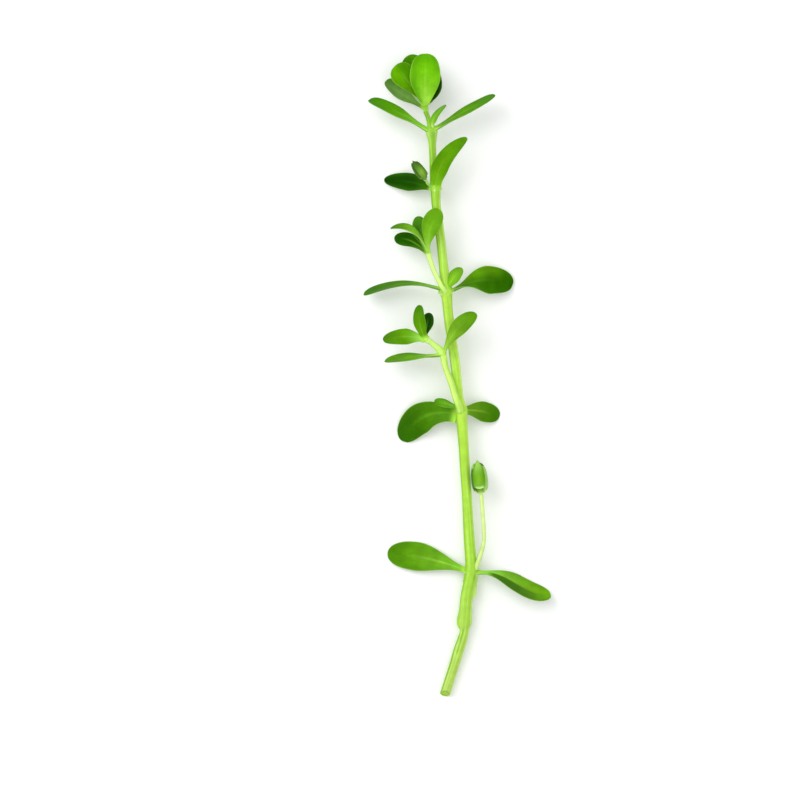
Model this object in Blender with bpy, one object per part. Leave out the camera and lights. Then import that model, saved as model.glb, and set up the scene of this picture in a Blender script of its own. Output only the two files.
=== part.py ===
# A cut stem of water hyssop (Bacopa monnieri), lying on a table with its top towards +Y.
# Run with: blender --background --python part.py
import math

import bmesh
import bpy
from mathutils import Matrix, Vector

# Every place below is in millimetres from the cut end: x to the right and y towards the top of
# the stem, both along the table, and z up from the table.
MM = 0.001
CUT_END = (-3.480, -96.020)

# Sizes shared by many pieces, in millimetres.
GAP = 0.35
LEAF_THICKNESS = 0.76
LEAF_BASE_SHARE = 0.17
LEAF_FULL_SHARE = 1.05
LEAF_WIDEST_AT = 0.62
LEAF_TIP_POWER = 5.4
LEAF_CUP = 0.12
TWIST_REACH = 0.6
BUD_WIDEST_AT = 0.44
BUD_NECK_SHARE = 0.25
PEDICEL_RADIUS = 0.55

# How finely the solids are cut into faces.
STEM_SIDES = 10
SHOOT_SIDES = 8
STEPS_PER_SPAN = 2
LEAF_SIDES = 8
LEAF_RINGS = 10

# The cut is slanted: how far up the stem it runs for each millimetre to the right and each
# millimetre upwards.
CUT_SLANT_ACROSS = 0.10
CUT_SLANT_UP = 0.66

# Greens and their roughness, from the youngest leaves to the shaded old ones.
GREENS = {
    "stem": ((0.42, 0.72, 0.08), 0.38),
    "bright": ((0.19, 0.50, 0.015), 0.36),
    "mid": ((0.12, 0.33, 0.008), 0.36),
    "dark": ((0.035, 0.16, 0.006), 0.34),
    "pale": ((0.22, 0.36, 0.13), 0.48),
    "bud": ((0.13, 0.34, 0.02), 0.42),
}

# The main stem: x, y, z and radius at each place along its middle line.
MAIN_STEM = [
    (-0.1, 0.5, 1.53, 1.52),
    (2.2, 7.8, 1.75, 1.50),
    (4.0, 13.7, 2.10, 1.56),
    (5.0, 16.7, 2.25, 1.47),
    (5.65, 19.4, 2.45, 1.36),
    (5.65, 21.6, 2.60, 2.10),
    (5.9, 24.9, 2.85, 1.96),
    (6.4, 30.3, 3.20, 1.84),
    (7.7, 37.2, 3.70, 1.86),
    (7.4, 42.6, 4.00, 1.70),
    (7.0, 48.0, 4.20, 1.62),
    (6.6, 55.5, 4.50, 1.52),
    (6.3, 60.9, 4.70, 1.48),
    (5.8, 68.4, 5.00, 1.50),
    (5.3, 76.5, 5.35, 1.54),
    (4.6, 85.5, 5.70, 1.72),
    (3.9, 89.4, 5.87, 1.50),
    (3.4, 94.8, 6.00, 1.46),
    (2.75, 100.8, 6.20, 1.46),
    (1.2, 111.3, 6.50, 1.46),
    (0.6, 116.4, 6.60, 1.48),
    (0.2, 121.2, 6.70, 1.62),
    (-0.7, 129.3, 6.85, 1.40),
    (-1.5, 136.8, 6.95, 1.38),
    (-2.85, 147.3, 7.05, 1.38),
    (-3.1, 152.1, 7.10, 1.50),
    (-3.65, 157.2, 7.25, 1.18),
    (-4.0, 164.4, 7.45, 1.12),
    (-4.1, 167.0, 7.60, 1.36),
    (-4.3, 169.4, 7.70, 1.74),
    (-4.6, 171.2, 7.85, 0.98),
    (-5.4, 173.7, 8.10, 0.70),
    (-6.0, 175.6, 8.35, 0.84),
    (-6.15, 177.9, 8.60, 0.78),
]

# How far up the main stem each pair of leaves grows, as y.
FIRST_PAIR = 37.2
SECOND_PAIR = 85.5
THIRD_PAIR = 121.2
FOURTH_PAIR = 152.1
FIFTH_PAIR = 169.8
TOP_PAIR = 177.4

# The side shoots, from where they leave the main stem to their own ends.
UPPER_SHOOT = [
    (-1.3, 122.9, 9.10, 0.76),
    (-2.2, 124.7, 9.20, 0.74),
    (-3.8, 128.1, 9.40, 0.72),
    (-5.6, 133.7, 9.70, 0.80),
]
LOWER_SHOOT = [
    (3.5, 88.0, 8.95, 1.00),
    (2.6, 90.6, 8.90, 0.98),
    (1.7, 93.7, 8.75, 0.98),
    (-0.1, 98.7, 8.55, 0.96),
    (-1.0, 102.6, 8.50, 1.08),
    (-3.5, 105.3, 8.75, 0.84),
    (-6.6, 107.5, 9.10, 0.90),
]


# How quickly the calyx of a bud widens above its neck, and how it draws in to its point.
BUD_BASE_POWER = 4.0
BUD_POINT_REACH = 2.2
BUD_POINT_POWER = 0.8


def clear_scene():
    for old in list(bpy.data.objects):
        bpy.data.objects.remove(old, do_unlink=True)


def green(name, shade):
    colour, roughness = GREENS[shade]
    material = bpy.data.materials.new(name)
    material.use_nodes = True
    shader = material.node_tree.nodes["Principled BSDF"]
    shader.inputs["Base Color"].default_value = (*colour, 1.0)
    shader.inputs["Roughness"].default_value = roughness
    shader.inputs["Metallic"].default_value = 0.0
    return material


def add_object(name, bm, shade):
    """Moves a finished shape from the plant's millimetres to metres and makes it an object."""
    shift = Vector((CUT_END[0], CUT_END[1], 0.0))
    for vertex in bm.verts:
        vertex.co = (vertex.co + shift) * MM
        vertex.co.z = max(vertex.co.z, 0.0)
    mesh = bpy.data.meshes.new(name)
    bm.to_mesh(mesh)
    bm.free()
    mesh.shade_smooth()
    mesh.materials.append(green(name, shade))
    piece = bpy.data.objects.new(name, mesh)
    bpy.context.scene.collection.objects.link(piece)
    return piece


def smooth_route(points, steps):
    """Adds places between a route's own points, on a Catmull-Rom curve through them."""
    points = [Vector(point) for point in points]
    padded = [points[0] * 2 - points[1], *points, points[-1] * 2 - points[-2]]
    route = []
    for before, start, end, after in zip(padded, padded[1:], padded[2:], padded[3:]):
        for step in range(steps):
            t = step / steps
            route.append(0.5 * (2 * start + (end - before) * t
                                + (2 * before - 5 * start + 4 * end - after) * t ** 2
                                + (3 * start - before - 3 * end + after) * t ** 3))
    route.append(points[-1])
    return route


def frame_along(direction):
    """Right and up directions across a route that runs in the given direction."""
    ahead = direction.normalized()
    right = ahead.cross(Vector((0, 0, 1))).normalized()
    return right, right.cross(ahead), ahead


def round_stem(name, points, sides, shade, cut=False):
    """A round stem along a route, closed at both ends, the first one slanted if it is a cut."""
    route = smooth_route(points, STEPS_PER_SPAN)
    centres = [Vector(place[:3]) for place in route]
    bm = bmesh.new()
    loops = []
    for index, centre in enumerate(centres):
        ahead = centres[min(index + 1, len(centres) - 1)] - centres[max(index - 1, 0)]
        right, up, ahead = frame_along(ahead)
        place = Matrix((right, up, ahead)).transposed().to_4x4()
        place.translation = centre
        ring = bmesh.ops.create_circle(bm, segments=sides, radius=route[index][3], matrix=place)["verts"]
        if cut and index == 0:
            for vertex in ring:
                out = vertex.co - centre
                slide = CUT_SLANT_UP * out.dot(up) + CUT_SLANT_ACROSS * out.dot(right)
                vertex.co += ahead * slide
        loops.append({edge for vertex in ring for edge in vertex.link_edges})
    for near, far in zip(loops, loops[1:]):
        bmesh.ops.bridge_loops(bm, edges=list(near | far))
    for end in (loops[0], loops[-1]):
        bmesh.ops.contextual_create(bm, geom=list(end))
    bmesh.ops.recalc_face_normals(bm, faces=bm.faces)
    return add_object(name, bm, shade)


def point_on(points, y):
    """The centre, direction and radius of a stem where it passes a given y."""
    for start, end in zip(points, points[1:]):
        if start[1] <= y <= end[1]:
            share = (y - start[1]) / (end[1] - start[1])
            place = Vector(start).lerp(Vector(end), share)
            return Vector(place[:3]), Vector(end[:3]) - Vector(start[:3]), place[3]
    raise ValueError("that place is not on the stem")


def outside(points, y, side, clearance=GAP):
    """A place just off a stem's surface, side being degrees from straight up towards the right."""
    centre, ahead, radius = point_on(points, y)
    right, up, ahead = frame_along(ahead)
    angle = math.radians(side)
    return centre + (up * math.cos(angle) + right * math.sin(angle)) * (radius + clearance)


def on_main(y, side, clearance=GAP):
    return outside(MAIN_STEM, y, side, clearance)


def leaf_half_width(t, base_share, widest_at, tip_power, fullness):
    """Share of a leaf's half width at t along it: a narrower base, a widest place, and a round tip.

    fullness is 0 for an even widening, 1 for a leaf that widens at once, and below 0 for a long neck.
    """
    reach = min(t / widest_at, 1.0)
    even = reach * reach * (3 - 2 * reach)
    rise = even + fullness * (math.sin(reach * math.pi / 2) - even)
    tip = math.sqrt(max(1 - t ** tip_power, 0.0))
    return (base_share + (LEAF_FULL_SHARE - base_share) * rise) * tip


def leaf(name, base, middle, tip, width, turn, shade, twist=0.0, sway=0.0, fullness=0.0,
         base_share=LEAF_BASE_SHARE, widest_at=LEAF_WIDEST_AT, tip_power=LEAF_TIP_POWER):
    """A fleshy leaf whose midrib runs from base through middle to tip.

    turn is in degrees: the upper face leans that far to the right of the leaf's own direction.
    twist is how much further it leans at its base, easing off over the first part of the leaf.
    sway bends it towards the top of the plant at its base and back again at its tip.
    """
    base, middle, tip = Vector(base), Vector(middle), Vector(tip)
    bend = middle * 2 - (base + tip) / 2
    bm = bmesh.new()
    bmesh.ops.create_uvsphere(bm, u_segments=LEAF_SIDES, v_segments=LEAF_RINGS, radius=1.0)
    for vertex in bm.verts:
        t = (1 + vertex.co.z) / 2
        ring = math.hypot(vertex.co.x, vertex.co.y)
        across = -vertex.co.x / ring if ring > 0.01 else 0.0
        above = vertex.co.y / ring if ring > 0.01 else 0.0
        round_trip = 2 * math.pi * t
        centre = base * (1 - t) ** 2 + bend * 2 * t * (1 - t) + tip * t ** 2
        centre.y += sway * math.sin(round_trip)
        heading = (bend - base) * (1 - t) + (tip - bend) * t
        heading.y += sway * math.pi * math.cos(round_trip)
        right, up, ahead = frame_along(heading)
        settled = min(t / TWIST_REACH, 1.0)
        settled = settled * settled * (3 - 2 * settled)
        lean = Matrix.Rotation(math.radians(turn + twist * (1 - settled)), 3, ahead)
        right, up = lean @ right, lean @ up
        half_width = width / 2 * leaf_half_width(t, base_share, widest_at, tip_power, fullness)
        rise = LEAF_THICKNESS / 2 * above + LEAF_CUP * half_width * across ** 2
        vertex.co = centre + right * half_width * across + up * rise
    return add_object(name, bm, shade)


def bud_share(t):
    """Share of a bud's half width at t along it: a short neck, a full middle and a drawn-out point."""
    if t < BUD_WIDEST_AT:
        return 1 - (1 - BUD_NECK_SHARE) * (1 - t / BUD_WIDEST_AT) ** BUD_BASE_POWER
    past = (t - BUD_WIDEST_AT) / (1 - BUD_WIDEST_AT)
    return (1 - past ** BUD_POINT_REACH) ** BUD_POINT_POWER


def bud(name, base, tip, width):
    """A closed flower bud from base to tip."""
    base, tip = Vector(base), Vector(tip)
    right, up, ahead = frame_along(tip - base)
    bm = bmesh.new()
    bmesh.ops.create_uvsphere(bm, u_segments=LEAF_SIDES, v_segments=LEAF_RINGS, radius=1.0)
    for vertex in bm.verts:
        t = min(max((1 + vertex.co.z) / 2, 0.0), 1.0)
        ring = math.hypot(vertex.co.x, vertex.co.y)
        radius = width / 2 * bud_share(t)
        out = (up * vertex.co.y - right * vertex.co.x) / ring * radius if ring > 0.01 else Vector()
        vertex.co = base.lerp(tip, t) + out
    return add_object(name, bm, "bud")


def build_stems():
    round_stem("main_stem", MAIN_STEM, STEM_SIDES, "stem", cut=True)
    round_stem("upper_shoot_stem", UPPER_SHOOT, SHOOT_SIDES, "stem")
    round_stem("lower_shoot_stem", LOWER_SHOOT, SHOOT_SIDES, "stem")


def build_low_leaves():
    """The two lowest pairs, whose outer halves are pressed against the table."""
    leaf("first_left_leaf", on_main(FIRST_PAIR, -96), (-6.2, 41.2, 0.9), (-17.5, 42.3, 0.3),
         width=8.8, turn=8, shade="bright")
    leaf("first_right_leaf", on_main(FIRST_PAIR, 92), (21.0, 33.6, 4.0), (31.66, 30.3, 2.4),
         width=7.6, turn=-50, shade="mid", sway=1.1, fullness=-1.0, base_share=0.25, widest_at=0.5,
         tip_power=8.0)
    leaf("second_left_leaf", on_main(SECOND_PAIR - 0.9, -104, 0.6), (-6.7, 83.7, 2.4), (-12.5, 76.2, 0.2),
         width=9.0, turn=4, shade="dark", base_share=0.55)
    leaf("second_right_leaf", on_main(SECOND_PAIR, 98, 0.5), (10.5, 85.4, 2.6), (16.3, 83.8, 0.1),
         width=6.2, turn=-10, shade="mid", base_share=0.4)
    leaf("second_young_leaf", on_main(SECOND_PAIR + 1.1, -52), (-0.3, 87.8, 7.9), (-3.4, 88.5, 7.4),
         width=2.8, turn=22, shade="mid", base_share=0.35, widest_at=0.55, tip_power=3.4)


def build_middle_leaves():
    leaf("third_left_leaf", on_main(THIRD_PAIR + 0.8, -92), (-12.0, 123.6, 6.2), (-24.7, 120.5, 4.6),
         width=6.4, turn=68, shade="mid", twist=16, fullness=-0.8, base_share=0.3, widest_at=0.9,
         tip_power=16.0)
    leaf("third_right_leaf", on_main(THIRD_PAIR, 86), (11.2, 124.7, 4.4), (20.2, 123.4, 0.9),
         width=8.6, turn=-10, shade="dark", twist=-75)
    leaf("third_young_leaf", on_main(THIRD_PAIR + 1.4, 44, 0.95), (2.7, 125.7, 9.7), (4.9, 128.3, 10.3),
         width=4.4, turn=-28, shade="mid", base_share=0.35, widest_at=0.55, tip_power=3.0)
    leaf("fourth_front_leaf", on_main(FOURTH_PAIR, 8, 0.5), (-0.7, 160.3, 11.4), (6.4, 167.2, 12.6),
         width=5.4, turn=-8, shade="bright", base_share=0.55, widest_at=0.42, tip_power=2.6)
    leaf("fourth_left_leaf", on_main(FOURTH_PAIR, -112), (-11.0, 154.3, 2.9), (-18.5, 155.0, 0.3),
         width=5.7, turn=12, shade="dark", base_share=0.2, widest_at=0.5, tip_power=3.1)


def build_top_leaves():
    """The fifth pair, seen nearly edge on, and the close tuft of leaves at the stem's top."""
    leaf("fifth_left_leaf", on_main(FIFTH_PAIR, -86), (-14.9, 175.1, 7.8), (-23.1, 178.8, 6.8),
         width=7.0, turn=63, shade="mid", twist=10, base_share=0.42, widest_at=0.5, tip_power=12.0)
    leaf("fifth_right_leaf", on_main(FIFTH_PAIR, 86), (5.9, 175.2, 8.4), (14.9, 180.2, 8.6),
         width=5.8, turn=-66, shade="mid", base_share=0.35, widest_at=0.6, tip_power=14.0)
    leaf("fifth_young_leaf", on_main(FIFTH_PAIR + 0.8, 40, 0.7), (-3.2, 173.6, 10.6), (0.1, 177.1, 11.2),
         width=2.4, turn=-20, shade="bright", base_share=0.22, widest_at=0.45, tip_power=1.9)
    leaf("top_front_leaf", on_main(TOP_PAIR, 0, 0.5), (-6.2, 184.6, 13.2), (-6.0, 192.3, 13.9),
         width=8.8, turn=0, shade="bright", fullness=1.0, base_share=0.2, tip_power=7.0)
    leaf("top_left_leaf", on_main(TOP_PAIR, -70, 0.9), (-11.3, 183.9, 10.8), (-15.3, 188.7, 11.9),
         width=7.5, turn=18, shade="bright", fullness=-0.5, widest_at=0.8, tip_power=7.0)
    leaf("top_right_leaf", on_main(TOP_PAIR, 100), (-2.7, 181.8, 8.8), (-2.9, 188.4, 9.0),
         width=5.6, turn=-58, shade="dark")
    leaf("top_back_leaf", on_main(TOP_PAIR, 180, 0.7), (-8.4, 184.8, 6.4), (-11.2, 192.2, 7.4),
         width=9.0, turn=8, shade="dark")
    leaf("top_pale_leaf", on_main(TOP_PAIR - 1.2, -120, 0.5), (-13.3, 181.1, 6.7), (-18.0, 184.6, 6.6),
         width=7.6, turn=128, shade="pale")


def build_shoot_leaves():
    """The tuft at the upper shoot's end, and the two pairs of the lower shoot."""
    leaf("upper_shoot_front_leaf", outside(UPPER_SHOOT, 133.2, 10, 0.65), (-4.7, 140.1, 11.9),
         (-1.7, 145.7, 12.2), width=6.1, turn=-6, shade="bright", widest_at=0.7)
    leaf("upper_shoot_left_leaf", outside(UPPER_SHOOT, 133.2, -80, 0.95), (-10.1, 139.7, 10.2),
         (-16.6, 140.1, 9.0), width=4.6, turn=64, shade="mid", twist=18,
         base_share=0.35, widest_at=0.45, tip_power=3.2)
    leaf("upper_shoot_low_leaf", outside(UPPER_SHOOT, 132.6, -128, 0.5), (-10.7, 136.5, 6.4),
         (-15.4, 137.0, 4.8), width=4.8, turn=24, shade="dark")
    leaf("upper_shoot_back_leaf", outside(UPPER_SHOOT, 133.4, 176, 0.6), (-7.4, 138.8, 6.9),
         (-8.1, 144.0, 6.6), width=4.8, turn=6, shade="mid")
    leaf("lower_shoot_front_leaf", outside(LOWER_SHOOT, 102.6, 30), (3.3, 109.6, 11.8),
         (9.2, 114.6, 12.2), width=6.0, turn=-32, shade="bright", widest_at=0.68)
    leaf("lower_shoot_left_leaf", outside(LOWER_SHOOT, 102.4, -96), (-9.8, 101.6, 8.0),
         (-18.4, 100.4, 6.8), width=5.8, turn=67, shade="mid", twist=14,
         base_share=0.3, widest_at=0.75, tip_power=12.0)
    leaf("lower_shoot_end_left_leaf", outside(LOWER_SHOOT, 107.3, -60, 1.12), (-12.8, 107.7, 10.0),
         (-18.8, 106.7, 9.2), width=5.0, turn=16, shade="bright",
         base_share=0.35, widest_at=0.45, tip_power=3.4)
    leaf("lower_shoot_end_up_leaf", outside(LOWER_SHOOT, 107.3, 30, 0.75), (-7.9, 112.6, 11.4),
         (-7.6, 117.2, 11.6), width=3.8, turn=-10, shade="bright",
         base_share=0.5, widest_at=0.5, tip_power=3.4)
    leaf("lower_shoot_end_back_leaf", outside(LOWER_SHOOT, 107.3, 150, 0.5), (-5.6, 111.2, 6.6),
         (-5.0, 115.0, 5.2), width=3.8, turn=-10, shade="dark")


def build_buds():
    """Two closed buds, each on a thin stalk from the corner between a leaf and the main stem."""
    stalk = [on_main(FIRST_PAIR + 0.7, 62, 0.9), (11.3, 45.4, 6.2), (11.4, 50.4, 6.8),
             (10.9, 57.0, 7.3), (10.7, 60.1, 7.4)]
    round_stem("lower_bud_pedicel", [(*place, PEDICEL_RADIUS) for place in stalk], SHOOT_SIDES, "stem")
    bud("lower_bud", (10.6, 60.5, 7.4), (9.5, 70.9, 7.7), width=5.1)
    stalk = [on_main(FOURTH_PAIR + 0.6, -62, 0.9), (-5.5, 153.7, 8.9), (-5.8, 154.5, 9.1)]
    round_stem("upper_bud_pedicel", [(*place, PEDICEL_RADIUS) for place in stalk], SHOOT_SIDES, "stem")
    bud("upper_bud", (-5.95, 154.9, 9.2), (-10.1, 160.5, 9.5), width=3.3)


clear_scene()
build_stems()
build_low_leaves()
build_middle_leaves()
build_top_leaves()
build_shoot_leaves()
build_buds()
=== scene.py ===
# Water hyssop (Bacopa monnieri): one cut stem lying on a table, seen from above.
# Leaves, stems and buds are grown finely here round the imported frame, then given their finishes.
import math

import bmesh
import bpy
from mathutils import Matrix, Vector, noise


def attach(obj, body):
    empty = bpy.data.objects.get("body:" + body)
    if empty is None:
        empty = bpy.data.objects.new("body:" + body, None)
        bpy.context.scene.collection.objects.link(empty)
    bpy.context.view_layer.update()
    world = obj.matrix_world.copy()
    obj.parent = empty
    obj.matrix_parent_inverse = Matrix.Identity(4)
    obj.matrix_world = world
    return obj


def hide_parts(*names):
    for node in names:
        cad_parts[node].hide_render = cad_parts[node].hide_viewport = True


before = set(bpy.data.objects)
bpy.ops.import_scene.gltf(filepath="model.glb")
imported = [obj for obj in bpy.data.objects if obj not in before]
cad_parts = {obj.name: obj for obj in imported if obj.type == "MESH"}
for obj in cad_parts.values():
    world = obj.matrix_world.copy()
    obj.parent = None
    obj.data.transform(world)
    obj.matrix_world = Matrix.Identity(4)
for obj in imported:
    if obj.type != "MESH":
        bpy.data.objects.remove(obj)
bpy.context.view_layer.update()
print("frame loaded:", len(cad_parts), "nodes")

# places are in millimetres from the cut end: x right, y towards the top, z up
mm = 0.001
cutEnd = Vector((-3.480, -96.020, 0.0))

cameraValues = {
    "lens": 250, "sensorWidth": 36, "seesTo": 20,
    "pictureWidth": 240.0, "middle": (-17.19, -7.22), "sharpHeight": 7.0,   # millimetres
}
camera = bpy.data.cameras.new("camera")
camera.lens = cameraValues["lens"]
camera.sensor_width = cameraValues["sensorWidth"]
camera.clip_end = cameraValues["seesTo"]
cameraObject = bpy.data.objects.new("camera", camera)
reach = cameraValues["pictureWidth"] / 2 * camera.lens / (camera.sensor_width / 2)
cameraObject.location = Vector((*cameraValues["middle"], cameraValues["sharpHeight"] + reach)) * mm
bpy.context.scene.collection.objects.link(cameraObject)
bpy.context.scene.camera = cameraObject

lampValues = {
    "keyLamp": {"power": 8.0, "size": 0.9, "place": (-0.75, 0.55, 1.0)},
    "topLamp": {"power": 6.0, "size": 1.6, "place": (0.1, -0.1, 1.3)},
}
skyValues = {"tone": (1, 1, 1, 1), "strength": 0.72}


def softLamp(name, values):
    lamp = bpy.data.lights.new(name, "AREA")
    lamp.shape = "SQUARE"
    lamp.size = values["size"]
    lamp.energy = values["power"]
    lampObject = bpy.data.objects.new(name, lamp)
    lampObject.location = values["place"]
    lampObject.rotation_euler = (-Vector(values["place"])).to_track_quat("-Z", "Y").to_euler()
    lampObject.visible_camera = False
    bpy.context.scene.collection.objects.link(lampObject)


for lampName in lampValues:
    softLamp(lampName, lampValues[lampName])
sky = bpy.data.worlds.new("sky")
sky.use_nodes = True
sky.node_tree.nodes["Background"].inputs["Color"].default_value = skyValues["tone"]
sky.node_tree.nodes["Background"].inputs["Strength"].default_value = skyValues["strength"]
bpy.context.scene.world = sky
bpy.context.scene.view_settings.view_transform = "Standard"
print("camera and light placed")


def smoothRoute(points, spacing, finer=24):
    # an even walk along a Catmull-Rom curve through the points; each place is x, y, z, radius
    points = [Vector(point) for point in points]
    padded = [points[0] * 2 - points[1], *points, points[-1] * 2 - points[-2]]
    fine = []
    for before, start, end, after in zip(padded, padded[1:], padded[2:], padded[3:]):
        for step in range(finer):
            t = step / finer
            fine.append(0.5 * (2 * start + (end - before) * t
                               + (2 * before - 5 * start + 4 * end - after) * t ** 2
                               + (3 * start - before - 3 * end + after) * t ** 3))
    fine.append(points[-1])
    route, walked = [fine[0]], 0.0
    for place, following in zip(fine, fine[1:]):
        walked += (following.xyz - place.xyz).length
        if walked >= spacing:
            route.append(following)
            walked = 0.0
    if walked > spacing / 3:
        route.append(fine[-1])
    return route


def eased(value):
    value = min(value, 1.0)
    return value * value * (3 - 2 * value)


def frameAlong(direction):
    ahead = direction.normalized()
    right = ahead.cross(Vector((0, 0, 1))).normalized()
    return right, right.cross(ahead), ahead


def placeOn(points, y, side, depth):
    # a place at a stem's surface, side in degrees from straight up towards the right
    for start, end in zip(points, points[1:]):
        if start[1] <= y <= end[1]:
            place = Vector(start).lerp(Vector(end), (y - start[1]) / (end[1] - start[1]))
            right, up, ahead = frameAlong(Vector(end[:3]) - Vector(start[:3]))
            angle = math.radians(side)
            return place.xyz + (up * math.cos(angle) + right * math.sin(angle)) * (place.w - depth)


def finishPiece(name, bm, nodes, materials):
    # to metres in the shared frame, then onto the body
    for vertex in bm.verts:
        vertex.co = (vertex.co + cutEnd) * mm
        vertex.co.z = max(vertex.co.z, 0.0)
    mesh = bpy.data.meshes.new(name)
    bm.to_mesh(mesh)
    bm.free()
    mesh.shade_smooth()
    for material in materials:
        mesh.materials.append(material)
    piece = bpy.data.objects.new(name, mesh)
    bpy.context.scene.collection.objects.link(piece)
    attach(piece, "root")
    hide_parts(*nodes)


def screenColour(tone):
    # a colour as it shows on a screen, 0 to 255, turned into the light it stands for
    return (*[((c / 255 + 0.055) / 1.055) ** 2.4 if c > 10 else c / 3294 for c in tone], 1.0)


def newFinish(name):
    material = bpy.data.materials.new(name)
    material.use_nodes = True
    return material, material.node_tree, material.node_tree.nodes["Principled BSDF"]


def connect(tree, node, inputs):
    for socket, value in inputs.items():
        if isinstance(value, bpy.types.NodeSocket):
            tree.links.new(value, node.inputs[socket])
        else:
            node.inputs[socket].default_value = value


def wire(tree, kind, inputs, **settings):
    node = tree.nodes.new("ShaderNode" + kind)
    for setting, value in settings.items():
        setattr(node, setting, value)
    connect(tree, node, inputs)
    return node


def calc(tree, operation, first, second=0.0):
    return wire(tree, "Math", {0: first, 1: second}, operation=operation).outputs[0]


def fade(tree, value, start, end, atStart, atEnd):
    return wire(tree, "MapRange", {0: value, 1: start, 2: end, 3: atStart, 4: atEnd},
                interpolation_type="SMOOTHSTEP").outputs[0]


def tint(tree, tone, share, colour):
    return wire(tree, "Mix", {0: share, 6: tone, 7: screenColour(colour)}, data_type="RGBA").outputs[2]


def lightened(tree, tone, value):
    return wire(tree, "HueSaturation", {"Value": value, "Color": tone}).outputs[0]


def stretched(tree, vector, scale):
    return wire(tree, "Mapping", {"Vector": vector, "Scale": scale}).outputs[0]


def clouded(tree, vector, scale, detail=2.0, roughness=0.5):
    return wire(tree, "TexNoise", {"Vector": vector, "Scale": scale, "Detail": detail,
                                   "Roughness": roughness}).outputs[0]


def celled(tree, vector, scale):
    return wire(tree, "TexVoronoi", {"Vector": vector, "Scale": scale}).outputs["Distance"]


def relief(tree, height, strength, depth):
    return wire(tree, "Bump", {"Strength": strength, "Distance": depth, "Height": height}).outputs[0]


def objectPlace(tree):
    return wire(tree, "TexCoord", {}).outputs["Object"]


def grainPlace(tree):
    return wire(tree, "Attribute", {}, attribute_name="grain").outputs["Vector"]


def numbersOn(tree, *names):
    # the numbers that a piece's own points carry
    return [wire(tree, "Attribute", {}, attribute_name=name).outputs["Fac"] for name in names]


def newLayers(bm, *names):
    # room on each point for these numbers, and last for its place in the grain
    return [*(bm.verts.layers.float.new(name) for name in names), bm.verts.layers.float_vector.new("grain")]


def toneRamp(tree, value, stops):
    ramp = wire(tree, "ValToRGB", {0: value})
    elements = ramp.color_ramp.elements
    for extra in stops[2:]:
        elements.new(extra[0])
    for element, (place, tone) in zip(elements, stops):
        element.position = place
        element.color = screenColour(tone)
    ramp.color_ramp.interpolation = "B_SPLINE"
    return ramp.outputs[0]


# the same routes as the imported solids: x, y, z and radius
mainStemRoute = [
    (-0.1, 0.5, 1.53, 1.52), (2.2, 7.8, 1.75, 1.50), (4.0, 13.7, 2.10, 1.56), (5.0, 16.7, 2.25, 1.47),
    (5.65, 19.4, 2.45, 1.36), (5.65, 21.6, 2.60, 2.10), (5.9, 24.9, 2.85, 1.96), (6.4, 30.3, 3.20, 1.84),
    (7.7, 37.2, 3.70, 1.86), (7.4, 42.6, 4.00, 1.70), (7.0, 48.0, 4.20, 1.62), (6.6, 55.5, 4.50, 1.52),
    (6.3, 60.9, 4.70, 1.48), (5.8, 68.4, 5.00, 1.50), (5.3, 76.5, 5.35, 1.54), (4.6, 85.5, 5.70, 1.72),
    (3.9, 89.4, 5.87, 1.50), (3.4, 94.8, 6.00, 1.46), (2.75, 100.8, 6.20, 1.46), (1.2, 111.3, 6.50, 1.46),
    (0.6, 116.4, 6.60, 1.48), (0.2, 121.2, 6.70, 1.62), (-0.7, 129.3, 6.85, 1.40),
    (-1.5, 136.8, 6.95, 1.38), (-2.85, 147.3, 7.05, 1.38), (-3.1, 152.1, 7.10, 1.50),
    (-3.65, 157.2, 7.25, 1.18), (-4.0, 164.4, 7.45, 1.12), (-4.1, 167.0, 7.60, 1.36),
    (-4.3, 169.4, 7.70, 1.74), (-4.6, 171.2, 7.85, 0.98), (-5.4, 173.7, 8.10, 0.70),
    (-6.0, 175.6, 8.35, 0.84), (-6.15, 177.9, 8.60, 0.78)]
upperShootRoute = [(-1.3, 122.9, 9.10, 0.76), (-2.2, 124.7, 9.20, 0.74), (-3.8, 128.1, 9.40, 0.72),
                   (-5.6, 133.7, 9.70, 0.80)]
lowerShootRoute = [(3.5, 88.0, 8.95, 1.00), (2.6, 90.6, 8.90, 0.98), (1.7, 93.7, 8.75, 0.98),
                   (-0.1, 98.7, 8.55, 0.96), (-1.0, 102.6, 8.50, 1.08), (-3.5, 105.3, 8.75, 0.84),
                   (-6.6, 107.5, 9.10, 0.90)]

# rings at the pairs of leaves: how far up, how far each stands out at the stem's sides and at its
# front, and how far it fades downwards
mainStemRings = [(37.2, 0.34, 0.06, 0.5), (85.5, 0.36, 0.12, 0.45), (121.0, 0.74, 0.20, 0.28),
                 (151.9, 0.36, 0.16, 0.4), (169.9, 0.25, 0.12, 0.8), (175.9, 0.10, 0.12, 0.4)]
# strips of loose old skin: from and to how far up, degrees round the stem, how wide and how far out
mainStemFlakes = [(29.8, 36.8, 92, 26, 1.15), (20.5, 25.2, -84, 34, 0.42), (21.2, 23.6, 88, 30, 0.12),
                  (33.6, 36.4, -88, 30, 0.45), (120.2, 122.0, -80, 30, 0.4), (120.2, 122.0, 82, 26, 0.36)]
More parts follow.
